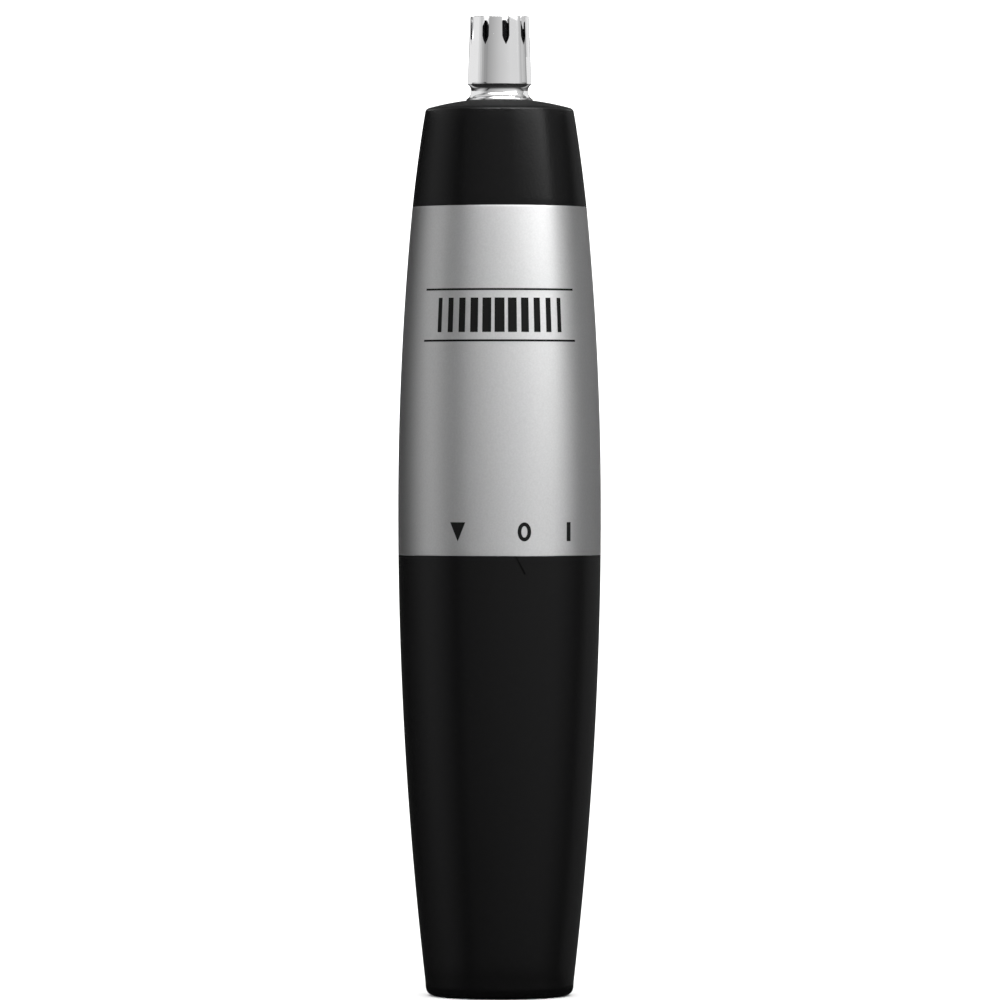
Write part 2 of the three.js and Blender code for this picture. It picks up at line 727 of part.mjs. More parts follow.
const silverPaint = material(0xb9babc, 0.35, 0.7);
const blackPlastic = material(0x17181a, 0.45, 0);
const greyPlastic = material(0x5a5d60, 0.55, 0);
const whitePlastic = material(0xd9d8d2, 0.5, 0);
const chrome = material(0xd8d9da, 0.12, 1);
const steel = material(0xa4a6a8, 0.3, 1);
const brass = material(0xb8934a, 0.35, 1);
const copper = material(0xa85c32, 0.35, 1);
const ferrite = material(0x3a3a3d, 0.7, 0);
const rubber = material(0x101011, 0.8, 0);
const batteryWrap = material(0x6d7f76, 0.35, 0);

const trimmer = new THREE.Group();

function piece(name, look, geometry) {
  const mesh = new THREE.Mesh(geometry, look);
  mesh.name = name;
  trimmer.add(mesh);
}

piece('battery_cover', blackPlastic, batteryCover());
piece('negative_spring', steel, negativeSpring());
piece('contact_strip', brass, contactStrip());
piece('battery_cell', batteryWrap, batteryCell());
piece('battery_cap', steel, batteryCap());
piece('cover_seal', rubber, ringSeal(COVER_SEAL));

piece('housing_shell', silverPaint, housingShell());
piece('motor_chassis', greyPlastic, motorChassis());
piece('positive_contact', brass, positiveContact());
piece('switch_contact', brass, switchContact());
piece('motor_can', steel, motorCan());
piece('motor_end_cap', whitePlastic, motorEndCap());
piece('motor_magnet_right', ferrite, fieldMagnet(1));
piece('motor_magnet_left', ferrite, fieldMagnet(-1));
piece('motor_brush_right', copper, motorBrush(1));
piece('motor_brush_left', copper, motorBrush(-1));
piece('motor_bearing_top', brass, tube(BUSH_BORE, BEARING.radius, MOTOR.top - 0.6, MOTOR.top + 1.7));
piece('motor_bearing_bottom', brass, tube(BUSH_BORE, BEARING.radius, BEARING.bottom, BEARING.top));
piece('motor_screw_front', steel, motorScrew(-1));
piece('motor_screw_back', steel, motorScrew(1));
piece('shaft_seal', rubber, tube(SHAFT_RADIUS + GAP, 2.5, MOTOR.top + 2.1, MOTOR.top + 3));

piece('motor_shaft', steel, rod(SHAFT_RADIUS, 62.8, DRIVE_DOG.discTop - 0.3));
piece('armature_core', steel, armatureCore());
for (let index = 0; index < ARMATURE.poles; index += 1) {
  piece(`armature_winding_${index + 1}`, copper, armatureWinding(index));
}
piece('commutator', brass, commutator());
piece('drive_dog', whitePlastic, driveDog());

piece('head_seal', rubber, ringSeal(HEAD_SEAL));
piece('head_cap', blackPlastic, headCap());
piece('cutting_guard', chrome, cuttingGuard());
piece('guard_retainer', steel, tube(3.75, 5.6, 119.8, 121));
piece('cutter_bush', whitePlastic, cutterBush());

piece('rotary_blade', steel, rotaryBlade());
piece('cutter_spindle', steel, rod(SHAFT_RADIUS, CUTTER_DOG.discBottom - 0.7, BLADE.floor - 0.1));
piece('cutter_spring', steel, cutterSpring());
piece('spindle_clip', steel, spindleClip());
piece('cutter_dog', whitePlastic, cutterDog());

export default trimmer;
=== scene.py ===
"""Looks of a battery-powered nose hair trimmer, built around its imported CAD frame.

Sizes are in millimetres until they reach a mesh, where MM turns them into metres. The trimmer
stands on its base with its axis on Z. -Y is the front.
"""
import math

import bmesh
import bpy
from mathutils import Matrix, Vector


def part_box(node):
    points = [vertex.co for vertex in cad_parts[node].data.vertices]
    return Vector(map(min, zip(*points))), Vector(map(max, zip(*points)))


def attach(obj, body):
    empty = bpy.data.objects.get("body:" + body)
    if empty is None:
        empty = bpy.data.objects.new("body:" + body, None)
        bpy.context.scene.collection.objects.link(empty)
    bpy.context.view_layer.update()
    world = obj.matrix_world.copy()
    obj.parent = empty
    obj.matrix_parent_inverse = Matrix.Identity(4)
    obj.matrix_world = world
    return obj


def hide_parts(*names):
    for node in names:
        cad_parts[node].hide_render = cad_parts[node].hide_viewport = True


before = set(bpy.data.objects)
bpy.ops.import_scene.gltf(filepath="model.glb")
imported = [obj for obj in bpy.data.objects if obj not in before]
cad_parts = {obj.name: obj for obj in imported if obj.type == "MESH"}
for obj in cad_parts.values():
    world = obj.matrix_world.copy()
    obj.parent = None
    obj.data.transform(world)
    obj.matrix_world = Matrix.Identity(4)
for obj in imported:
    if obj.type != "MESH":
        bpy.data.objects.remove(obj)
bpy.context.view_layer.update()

MM = 0.001
ROUND = 192  # facets round a shell
SMALL_ROUND = 96  # facets round a small turned piece
SHARP_DEGREES = 36  # an edge between two faces at a larger angle is sharp


def span(node):
    """Lowest and highest corner of a CAD node, in millimetres."""
    low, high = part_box(node)
    return low / MM, high / MM


def bottom(node):
    return span(node)[0].z


def top(node):
    return span(node)[1].z


# ------------------------------------------------------------------ camera

camera_data = bpy.data.cameras.new("camera")
camera_data.lens = 282.3
camera_data.sensor_width = 36
camera_data.clip_start = 0.01
camera_data.clip_end = 50
camera = bpy.data.objects.new("camera", camera_data)
camera_x = 0.00006
camera.location = (camera_x, -1.082, 0.076)
aim = Vector((camera_x, 0, 0.06835)) - camera.location
camera.rotation_euler = aim.to_track_quat("-Z", "Y").to_euler()
bpy.context.scene.collection.objects.link(camera)
bpy.context.scene.camera = camera
bpy.context.scene.view_settings.view_transform = "Standard"

# ------------------------------------------------------------------ the outer outline

BELLY_HEIGHT = 67
BELLY_RADIUS = 14
# The barrel's radius of curvature, above its belly and below it.
CURVE_ABOVE = 440
CURVE_BELOW = 565
# The shells all but touch at their seams, so that no daylight shows between them.
COVER_TOP = 60.79
HOUSING_BOTTOM = 60.8
HOUSING_TOP = 108.71
CAP_BOTTOM = 108.72
GUARD_TOP = top("cutting_guard")


def belly(height):
    """Outer radius of the barrel at a height."""
    away = height - BELLY_HEIGHT
    curve = CURVE_ABOVE if away > 0 else CURVE_BELOW
    return BELLY_RADIUS - away * away / (2 * curve)


def belly_outline(start, end, steps, inset=0.0):
    """Points on the barrel, or inset from it, from one height to another."""
    heights = [start + (end - start) * i / steps for i in range(steps + 1)]
    return [(belly(height) - inset, height) for height in heights]


# ------------------------------------------------------------------ mesh helpers


def add_object(name, mesh):
    made = bpy.data.objects.new(name, mesh)
    bpy.context.scene.collection.objects.link(made)
    return made


def from_bmesh(name, shape):
    bmesh.ops.remove_doubles(shape, verts=shape.verts, dist=1e-8)
    bmesh.ops.recalc_face_normals(shape, faces=shape.faces)
    mesh = bpy.data.meshes.new(name)
    shape.to_mesh(mesh)
    shape.free()
    return add_object(name, mesh)


def solid(name, points, faces):
    """A closed mesh from points in millimetres."""
    shape = bmesh.new()
    corners = [shape.verts.new(Vector(point) * MM) for point in points]
    for face in faces:
        shape.faces.new([corners[index] for index in face])
    return from_bmesh(name, shape)


def softened(profile, closed=True, steps=4):
    """Replaces each profile corner given as (radius, height, cut) with a curve that starts at cut."""
    result = []
    count = len(profile)
    for index, corner in enumerate(profile):
        here = Vector(corner[:2])
        cut = corner[2] if len(corner) > 2 else 0
        if not cut or (not closed and index in (0, count - 1)):
            result.append(tuple(here))
            continue
        before = here + (Vector(profile[index - 1][:2]) - here).normalized() * cut
        after = here + (Vector(profile[(index + 1) % count][:2]) - here).normalized() * cut
        for step in range(steps + 1):
            t = step / steps
            point = before * (1 - t) ** 2 + here * 2 * t * (1 - t) + after * t * t
            result.append(tuple(point))
    return result


def lathe(name, profile, segments=SMALL_ROUND):
    """Turns a profile of (radius, height) about Z. It is closed, or starts and ends on the axis."""
    on_axis = profile[0][0] < 1e-6
    points = []
    rows = []
    for radius, height in profile:
        if radius < 1e-6:
            rows.append([len(points)] * segments)
            points.append((0, 0, height))
            continue
        rows.append(range(len(points), len(points) + segments))
        for step in range(segments):
            angle = 2 * math.pi * step / segments
            points.append((radius * math.cos(angle), radius * math.sin(angle), height))
    faces = []
    pairs = list(zip(rows, rows[1:]))
    if not on_axis:
        pairs.append((rows[-1], rows[0]))
    for low, high in pairs:
        for step in range(segments):
            after = (step + 1) % segments
            ring = [low[step], low[after], high[after], high[step]]
            face = list(dict.fromkeys(ring))
            if len(face) > 2:
                faces.append(face)
    return solid(name, points, faces)


def prism(name, outline, front, back):
    """An outline of (x, z) pushed through from y = front to y = back."""
    count = len(outline)
    points = [(x, y, z) for y in (front, back) for x, z in outline]
    faces = [list(range(count)), list(range(2 * count - 1, count - 1, -1))]
    for index in range(count):
        after = (index + 1) % count
        faces.append([index, after, after + count, index + count])
    return solid(name, points, faces)


def block(name, x, y, z):
    """A box from three pairs of limits."""
    outline = [(x[0], z[0]), (x[1], z[0]), (x[1], z[1]), (x[0], z[1])]
    return prism(name, outline, y[0], y[1])


def sector(name, inner, outer, start, end, low, high, steps=24):
    """A block that follows a circle from start to end degrees."""
    points = []
    for step in range(steps + 1):
        angle = math.radians(start + (end - start) * step / steps)
        for radius, height in ((inner, low), (outer, low), (outer, high), (inner, high)):
            points.append((radius * math.cos(angle), radius * math.sin(angle), height))
    faces = [[0, 1, 2, 3], [4 * steps + 3, 4 * steps + 2, 4 * steps + 1, 4 * steps]]
    for step in range(steps):
        base = 4 * step
        for side in range(4):
            after = (side + 1) % 4
            faces.append([base + side, base + after, base + after + 4, base + side + 4])
    return solid(name, points, faces)


def copy_turned(piece, degrees):
    twin = add_object(piece.name, piece.data.copy())
    twin.data.transform(Matrix.Rotation(math.radians(degrees), 4, "Z"))
    return twin


def shift_back(piece, distance):
    """Moves a piece along Y, away from the front."""
    piece.data.transform(Matrix.Translation(Vector((0, distance, 0)) * MM))
    return piece


def merged(name, pieces):
    """One mesh of several that don't touch."""
    shape = bmesh.new()
    for piece in pieces:
        shape.from_mesh(piece.data)
        bpy.data.objects.remove(piece)
    mesh = bpy.data.meshes.new(name)
    shape.to_mesh(mesh)
    shape.free()
    return add_object(name, mesh)


def apply_modifiers(piece):
    depsgraph = bpy.context.evaluated_depsgraph_get()
    mesh = bpy.data.meshes.new_from_object(piece.evaluated_get(depsgraph))
    piece.modifiers.clear()
    piece.data = mesh


def boolean(piece, operation, *tools):
    for tool in tools:
        modifier = piece.modifiers.new("boolean", "BOOLEAN")
        modifier.operation = operation
        modifier.solver = "EXACT"
        modifier.object = tool
        apply_modifiers(piece)
        bpy.data.objects.remove(tool)
    return piece


def carve(piece, *tools):
    return boolean(piece, "DIFFERENCE", *tools)


def unite(piece, *tools):
    return boolean(piece, "UNION", *tools)


def bevel(piece, width):
    modifier = piece.modifiers.new("bevel", "BEVEL")
    modifier.width = width * MM
    modifier.segments = 2
    modifier.limit_method = "ANGLE"
    modifier.angle_limit = math.radians(SHARP_DEGREES)
    modifier.use_clamp_overlap = True


def shade(piece):
    """Smooth faces, with a sharp edge wherever two of them meet at more than SHARP_DEGREES."""
    shape = bmesh.new()
    shape.from_mesh(piece.data)
    limit = math.radians(SHARP_DEGREES)
    for face in shape.faces:
        face.smooth = True
    for edge in shape.edges:
        edge.smooth = len(edge.link_faces) == 2 and edge.calc_face_angle(0) < limit
    shape.to_mesh(piece.data)
    shape.free()


def wrapped(name, polygons, angle, height, inner, outer, cell=0.4):
    """A thin plate that follows the barrel.

    The polygons hold (across, up) in millimetres about a point at an angle from the front and a
    height. The plate reaches from inner to outer millimetres off the barrel's surface. It is cut
    into cells of a given size before it is bent.
    """
    shape = bmesh.new()
    for polygon in polygons:
        shape.faces.new([shape.verts.new((across, 0, up)) for across, up in polygon])
    bmesh.ops.remove_doubles(shape, verts=shape.verts, dist=1e-5)
    for axis, normal in ((0, (1, 0, 0)), (2, (0, 0, 1))):
        low = min(vertex.co[axis] for vertex in shape.verts)
        high = max(vertex.co[axis] for vertex in shape.verts)
        for step in range(1, math.ceil((high - low) / cell)):
            plane = Vector()
            plane[axis] = low + step * cell
            everything = shape.verts[:] + shape.edges[:] + shape.faces[:]
            bmesh.ops.bisect_plane(shape, geom=everything, plane_co=plane, plane_no=normal)
    raised = bmesh.ops.extrude_face_region(shape, geom=shape.faces[:])
    for item in raised["geom"]:
        if isinstance(item, bmesh.types.BMVert):
            item.co.y = 1
    for vertex in shape.verts:
        across, depth, up = vertex.co
        z = height + up
        radius = belly(z) + inner + (outer - inner) * depth
        turned = math.radians(angle) + across / belly(height)
        vertex.co = Vector((radius * math.sin(turned), -radius * math.cos(turned), z)) * MM
    return from_bmesh(name, shape)


def coil(name, start_radius, end_radius, low, high, turns, wire):
    """A spring from a wire of a given radius, whose ends lie flat for 0.8 of a turn."""
    sides = 12
    steps = round(turns * 40)
    points = []
    flat = 0.8 / turns
    for step in range(steps + 1):
        t = step / steps
        rise = min(max((t - flat) / (1 - 2 * flat), 0), 1)
        rise = rise * rise * (3 - 2 * rise)
        angle = 2 * math.pi * turns * t
        radius = start_radius + (end_radius - start_radius) * t
        centre = Vector((radius * math.cos(angle), radius * math.sin(angle), low + (high - low) * rise))
        outward = Vector((math.cos(angle), math.sin(angle), 0))
        for side in range(sides):
            around = 2 * math.pi * side / sides
            offset = outward * math.cos(around) + Vector((0, 0, 1)) * math.sin(around)
            points.append(tuple(centre + offset * wire))
    faces = [list(range(sides)), list(range(steps * sides + sides - 1, steps * sides - 1, -1))]
    for step in range(steps):
        for side in range(sides):
            after = (side + 1) % sides
            base = step * sides
            faces.append([base + side, base + after, base + sides + after, base + sides + side])
    return solid(name, points, faces)


# ------------------------------------------------------------------ materials


# A colour mix node's sockets by index, because several of them share a name.
MIX_FACTOR = 0
MIX_COLORS = (6, 7)
MIX_RESULT = 2


class Look:
    """A principled material and short ways to add procedural detail to it."""

    def __init__(self, name, color, roughness, metallic=0.0, **sockets):
        self.material = bpy.data.materials.new(name)
        self.material.use_nodes = True
        self.tree = self.material.node_tree
        self.shader = self.tree.nodes["Principled BSDF"]
        self.color = color
        self.shader.inputs["Base Color"].default_value = (*color, 1)
        self.shader.inputs["Roughness"].default_value = roughness
        self.shader.inputs["Metallic"].default_value = metallic
        for socket, value in sockets.items():
            self.shader.inputs[socket.replace("_", " ")].default_value = value
        self.place = self.tree.nodes.new("ShaderNodeTexCoord").outputs["Object"]

    def node(self, kind, **inputs):
        made = self.tree.nodes.new(kind)
        for socket, value in inputs.items():
            made.inputs[socket.replace("_", " ")].default_value = value
        return made

    def link(self, source, target):
        self.tree.links.new(source, target)

    def noise(self, size, stretch=(1, 1, 1)):
        """Noise whose features are about size millimetres, stretched along an axis."""
        mapping = self.node("ShaderNodeMapping", Scale=tuple(1 / factor for factor in stretch))
        made = self.node("ShaderNodeTexNoise", Scale=1 / (size * MM), Detail=2.0)
        self.link(self.place, mapping.inputs["Vector"])
        self.link(mapping.outputs["Vector"], made.inputs["Vector"])
        return made.outputs["Fac"]

    def ranged(self, source, low, high, start=0.3, end=0.7):
        """Maps a source's values from start and end, the usual ends of a noise, to low and high."""
        made = self.node("ShaderNodeMapRange", From_Min=start, From_Max=end, To_Min=low, To_Max=high)
        self.link(source, made.inputs["Value"])
        return made.outputs["Result"]

    def mottle(self, size, amount, stretch=(1, 1, 1)):
        """Light and dark patches of the base colour."""
        mix = self.node("ShaderNodeMix")
        mix.data_type = "RGBA"
        for socket, share in zip(MIX_COLORS, (1 - amount, 1 + amount)):
            color = [min(channel * share, 1) for channel in self.color]
            mix.inputs[socket].default_value = (*color, 1)
        self.link(self.ranged(self.noise(size, stretch), 0, 1), mix.inputs[MIX_FACTOR])
        self.link(mix.outputs[MIX_RESULT], self.shader.inputs["Base Color"])
        return self

    def rough(self, size, low, high, stretch=(1, 1, 1)):
        """Patches of a glossier and a duller finish, with the roughness from low to high."""
        source = self.ranged(self.noise(size, stretch), low, high)
        self.link(source, self.shader.inputs["Roughness"])
        return self

    def matte_above(self, start, end, roughness):
        """Roughens everything above a height, which fades in from start to end millimetres."""
        parts = self.node("ShaderNodeSeparateXYZ")
        self.link(self.place, parts.inputs[0])
        rougher = self.node("ShaderNodeMath")
        rougher.operation = "MAXIMUM"
        self.link(self.shader.inputs["Roughness"].links[0].from_socket, rougher.inputs[0])
        self.link(self.ranged(parts.outputs["Z"], 0, roughness, start * MM, end * MM), rougher.inputs[1])
        self.link(rougher.outputs[0], self.shader.inputs["Roughness"])
        return self

    def grain(self, size, depth, stretch=(1, 1, 1)):
        """A fine relief, with its size and depth in millimetres."""
        made = self.node("ShaderNodeBump", Strength=1.0, Distance=depth * MM)
        self.link(self.noise(size, stretch), made.inputs["Height"])
        self.link(made.outputs["Normal"], self.shader.inputs["Normal"])
        return self


satin_silver = (
    Look("satin_silver", (0.64, 0.642, 0.645), 0.37, 1.0)
    .mottle(0.25, 0.04)
    .rough(0.6, 0.35, 0.39)
    .grain(0.09, 0.0006)
)
satin_black = (
    Look("satin_black", (0.002, 0.002, 0.0021), 0.22, 0.0, Specular_IOR_Level=0.18)
    .mottle(0.3, 0.12)
    .rough(0.5, 0.2, 0.24)
    .grain(0.16, 0.001)
)
cap_black = (
    Look("cap_black", (0.002, 0.002, 0.0021), 0.24, 0.0, Specular_IOR_Level=0.18)
    .mottle(0.3, 0.12)
    .rough(0.5, 0.17, 0.21)
    .grain(0.24, 0.022)
    .matte_above(121.9, 122.2, 0.8)
)
print_black = (
    Look("print_black", (0.003, 0.003, 0.003), 0.5, 0.0, Specular_IOR_Level=0.1)
    .mottle(0.2, 0.2)
    .rough(0.3, 0.45, 0.55)
)
chrome = Look("chrome", (0.96, 0.96, 0.965), 0.05, 1.0).mottle(3, 0.01).rough(0.8, 0.035, 0.07)
# The blade's near-black colour is painted shade: it stands for the dark inside of the head, seen through
# the guard's slots, where a bare steel blade would catch light.
painted_shade_steel = (
    Look("painted_shade_steel", (0.012, 0.012, 0.013), 0.35, 1.0)
    .mottle(0.4, 0.15)
    .rough(0.3, 0.3, 0.42, (1, 1, 0.1))
    .grain(0.1, 0.001, (1, 1, 0.15))
)
steel = (
    Look("turned_steel", (0.58, 0.58, 0.585), 0.28, 1.0)
    .mottle(0.8, 0.04)
    .rough(0.5, 0.22, 0.32, (1, 1, 0.05))
    .grain(0.12, 0.0008, (1, 1, 0.08))
)
laminations = (
    Look("steel_laminations", (0.32, 0.32, 0.33), 0.4, 1.0)
    .mottle(0.5, 0.2, (6, 6, 1))
    .rough(0.4, 0.35, 0.5)
    .grain(0.5, 0.03, (40, 40, 1))
)
motor_plate = (
    Look("zinc_plate", (0.6, 0.6, 0.59), 0.32, 1.0)
    .mottle(2.5, 0.06)
    .rough(1.5, 0.26, 0.4)
    .grain(0.5, 0.002)
)
spring_wire = Look("spring_wire", (0.55, 0.55, 0.56), 0.22, 1.0).mottle(0.6, 0.06).rough(0.4, 0.18, 0.3)
brass = (
    Look("contact_brass", (0.78, 0.6, 0.3), 0.25, 1.0)
    .mottle(1.2, 0.06)
    .rough(0.8, 0.2, 0.34)
    .grain(0.15, 0.001, (1, 1, 0.1))
)
copper_sheet = Look("copper_sheet", (0.75, 0.4, 0.24), 0.3, 1.0).mottle(0.8, 0.08).rough(0.6, 0.24, 0.38)
winding_wire = (
    Look("winding_wire", (0.62, 0.26, 0.1), 0.3, 0.85)
    .mottle(0.3, 0.25, (4, 4, 1))
    .rough(0.3, 0.24, 0.4)
    .grain(0.22, 0.05, (8, 8, 1))
)
grey_plastic = (
    Look("grey_plastic", (0.05, 0.052, 0.055), 0.42, 0.0)
    .mottle(0.5, 0.08)
    .rough(0.6, 0.38, 0.48)
    .grain(0.14, 0.003)
)
acetal = (
    Look("white_acetal", (0.46, 0.455, 0.43), 0.38, 0.0, Subsurface_Weight=0.08)
    .mottle(1.2, 0.02)
    .rough(0.8, 0.34, 0.44)
    .grain(0.2, 0.002)
)
ferrite = (
    Look("ferrite", (0.045, 0.045, 0.05), 0.62)
    .mottle(0.3, 0.25)
    .rough(0.4, 0.5, 0.7)
    .grain(0.12, 0.006)
)
seal_rubber = (
    Look("seal_rubber", (0.012, 0.012, 0.012), 0.55, 0.0)
    .mottle(0.4, 0.2)
    .rough(0.4, 0.48, 0.62)
    .grain(0.1, 0.002)
)
battery_film = (
    Look("battery_film", (0.035, 0.16, 0.17), 0.26, 0.0, Coat_Weight=0.4)
    .mottle(4.0, 0.02)
    .rough(3.0, 0.24, 0.3)
    .grain(1.5, 0.0006)
)
battery_band = (
    Look("battery_band", (0.55, 0.56, 0.57), 0.3, 0.9, Coat_Weight=0.4)
    .mottle(4.0, 0.02)
    .rough(3.0, 0.28, 0.33)
    .grain(1.5, 0.0006)
)


def place(piece, look, body, slot, *replaced):
    """Shades a new piece, gives it its material and body, and hides the CAD parts that it stands for."""
    piece.data.materials.clear()
    piece.data.materials.append(look.material)
    shade(piece)
    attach(piece, body)
    if replaced:
        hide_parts(*replaced)
    return piece


# ------------------------------------------------------------------ battery cover

COVER_WALL = 1.6
COVER_FLOOR = 2.0
COVER_BORE = 11.3
# The two bayonets. Turns, clearances, halves and angles are in degrees.
TURN_TO_OPEN = -38.1
TURN_TO_ON = 28.4
LUG_CLEARANCE = 1.2
COVER_LUG = {"radius": 11.9, "half": 10, "low": 52.5, "high": 54.3, "angles": (0, 180)}
NECK_LUG = {"radius": 10.1, "half": 9, "low": 109.7, "high": 111.1, "angles": (90, 270)}
CAP_TURN = 25
CAP_BORE = 9.6
LUG_HEADROOM = 0.4
GAP = 0.3  # running gap between two moulded pieces
BEYOND = 1  # how far a cutting tool reaches past what it cuts


def index_groove():
    """The slanting line engraved in the cover's rim, under the off mark, as a cutting tool."""
    angle = 9.6
    half_width = 0.17
    depth = 0.4
    head = (-0.75, 1.0)
    foot = (1.1, -2.3)
    outline = [
        (head[0] - half_width, head[1]),
        (foot[0] - half_width, foot[1]),
        (foot[0], foot[1] - half_width),
        (foot[0] + half_width, foot[1]),
        (head[0] + half_width, head[1]),
    ]
    return wrapped("groove", [outline], angle, COVER_TOP - 0.1, -depth, 0.6)


def battery_cover():
    bore_start = BELLY_HEIGHT - math.sqrt(2 * CURVE_BELOW * (BELLY_RADIUS - COVER_WALL - COVER_BORE))
    corner = 1.4
    profile = softened(
        [
            (0, 0),
            (belly(corner), 0, corner),
            *belly_outline(corner * 1.3, COVER_TOP - 0.2, 48),
            (belly(COVER_TOP), COVER_TOP, 0.05),
            (COVER_BORE, COVER_TOP, 0.25),
            *belly_outline(bore_start, COVER_FLOOR + 1, 16, COVER_WALL),
            (belly(COVER_FLOOR) - COVER_WALL, COVER_FLOOR, 0.6),
            (0, COVER_FLOOR),
        ],
        closed=False,
        steps=6,
    )
    shell = lathe("cover_shell", profile, ROUND)
    rib_top = 46
    rib_inner = 7.6
    rib_half = 0.6
    outline = [
        (rib_inner, COVER_FLOOR - 1),
        *belly_outline(COVER_FLOOR - 1, rib_top, 12, COVER_WALL / 2),
        (rib_inner + rib_half, rib_top),
        (rib_inner, rib_top - 1),
    ]
    rib = prism("rib", outline, -rib_half, rib_half)
    ribs = [copy_turned(rib, 45 + 90 * index) for index in range(4)]
    bpy.data.objects.remove(rib)
    reach = COVER_LUG["half"] + LUG_CLEARANCE
    channels = [
        sector(
            "channel",
            COVER_BORE - BEYOND / 2,
            COVER_LUG["radius"] + GAP,
            angle - TURN_TO_ON - reach,
            angle - TURN_TO_OPEN + reach,
            COVER_LUG["low"] - LUG_HEADROOM,
            COVER_TOP + BEYOND,
            48,
        )
        for angle in COVER_LUG["angles"]
    ]
    unite(shell, *ribs)
    return carve(shell, *channels, index_groove())


place(battery_cover(), satin_black, "cover", "black_shell", "battery_cover")

NEGATIVE_WIRE = 0.35
negative_spring = coil(
    "cover_spring",
    start_radius=5.4,
    end_radius=2.6,
    low=COVER_FLOOR + 2 * NEGATIVE_WIRE,
    high=bottom("battery_cell") - 2 * NEGATIVE_WIRE,
    turns=4.5,
    wire=NEGATIVE_WIRE,
)
place(negative_spring, spring_wire, "cover", "spring_steel", "negative_spring")

# ------------------------------------------------------------------ housing

HOUSING_WALL = 1.8


def housing_shell():
    profile = softened(
        [
            (belly(HOUSING_BOTTOM), HOUSING_BOTTOM, 0.05),
            *belly_outline(HOUSING_BOTTOM + 0.3, HOUSING_TOP - 0.3, 40),
            (belly(HOUSING_TOP), HOUSING_TOP, 0.05),
            (belly(HOUSING_TOP) - HOUSING_WALL, HOUSING_TOP, 0.2),
            *belly_outline(HOUSING_TOP - 1, HOUSING_BOTTOM + 1, 16, HOUSING_WALL),
            (belly(HOUSING_BOTTOM) - HOUSING_WALL, HOUSING_BOTTOM, 0.2),
        ],
        steps=4,
    )
    return lathe("silver_shell", profile, ROUND)


place(housing_shell(), satin_silver, "housing", "silver_shell", "housing_shell")

# The ink starts a little under the silver surface, so that no gap shows.
PRINT_INNER = -0.01
PRINT_OUTER = 0.02


def printed(name, polygons, angle, height, cell=0.4):
    """A mark printed on the housing, at an angle from the front and a height."""
    mark = wrapped(name, polygons, angle, height, PRINT_INNER, PRINT_OUTER, cell)
    return place(mark, print_black, "housing", "black_shell")


def bar(left, right, low, high):
    return [(left, low), (right, low), (right, high), (left, high)]


def oval_ring(half_width, half_height, stroke):
    """A ring as a run of short four-sided pieces."""
    steps = 40
    polygons = []
    for step in range(steps):
        start, end = (2 * math.pi * (step + part) / steps for part in (0, 1))
        corners = []
        for angle, inset in ((start, 0), (end, 0), (end, stroke), (start, stroke)):
            across = (half_width - inset) * math.cos(angle)
            up = (half_height - inset) * math.sin(angle)
            corners.append((across, up))
        polygons.append(corners)
    return polygons


MARK_LOW = 62.8
MARK_HIGH = 65.4
MARK_MIDDLE = (MARK_LOW + MARK_HIGH) / 2
MARK_HALF = (MARK_HIGH - MARK_LOW) / 2
OFF_ANGLE = 14.0
OPEN_ANGLE = OFF_ANGLE + TURN_TO_OPEN
ON_ANGLE = OFF_ANGLE + TURN_TO_ON
TRIANGLE_HALF = 1.12
OVAL_HALF = 0.95
OVAL_STROKE = 0.52
BAR_HALF = 0.35

triangle = [(-TRIANGLE_HALF, MARK_HALF), (0, -MARK_HALF), (TRIANGLE_HALF, MARK_HALF)]
printed("mark_open", [triangle], OPEN_ANGLE, MARK_MIDDLE)
printed("mark_off", oval_ring(OVAL_HALF, MARK_HALF, OVAL_STROKE), OFF_ANGLE, MARK_MIDDLE, cell=2)
printed("mark_on", [bar(-BAR_HALF, BAR_HALF, -MARK_HALF, MARK_HALF)], ON_ANGLE, MARK_MIDDLE)


def front_motif():
    """A plain ornament on the housing: a row of upright bars between two thin rules."""
    middle = 93.7
    rule_reach = 11.6
    rule_offset = 3.5
    rule_half = 0.14
    for name, up in (("motif_rule_upper", rule_offset), ("motif_rule_lower", -rule_offset)):
        printed(name, [bar(-rule_reach, rule_reach, up - rule_half, up + rule_half)], 0, middle)
    bars_each_side = 5
    pitch = 1.75
    bar_half_height = 2.35
    widest_half = 0.68
    narrowing = 0.36
    bars = []
    for index in range(-bars_each_side, bars_each_side + 1):
        centre = index * pitch
        half_width = widest_half - narrowing * abs(index) / bars_each_side
        bars.append(bar(centre - half_width, centre + half_width, -bar_half_height, bar_half_height))
    printed("motif_bars", bars, 0, middle)


front_motif()

# ------------------------------------------------------------------ chassis and seals

CHASSIS = {
    "spigot_radius": 10.9,
    "spigot_bore": 8.2,
    "spigot_bottom": 49.5,
    "wall_bottom": 58.2,
    "wall_top": 60.4,
    "flange_radius": 11.85,
    "flange_bottom": 61.3,
    "flange_top": 63.3,
    "cradle_radius": 11,
    "cradle_bore": 10.35,
    "plate_bottom": 90.5,
    "plate_top": 92.5,
    "boss_hole": 3.4,
    "collar_radius": 9.95,
    "collar_bottom": 104,
    "collar_top": 107.5,
    "neck_radius": 9.2,
    "neck_bore": 6,
    "neck_top": 115,
}
COVER_SEAL = {"radius": 10.53, "height": 50.9, "section": 0.58}
HEAD_SEAL = {"radius": 8.83, "height": 113, "section": 0.58}
TERMINAL_X = 5
TERMINAL_HALF = 1.8
SWITCH_INNER = 7.65
SWITCH_HALF = 10
SLOT_HEIGHTS = (57, 61.2)  # through the wall between the battery and the motor
SCREW_RADIUS = 1.1
SCREW_REACH = 4.4
BACK_CUT = 0.5  # the cradle is open behind this distance from the axis


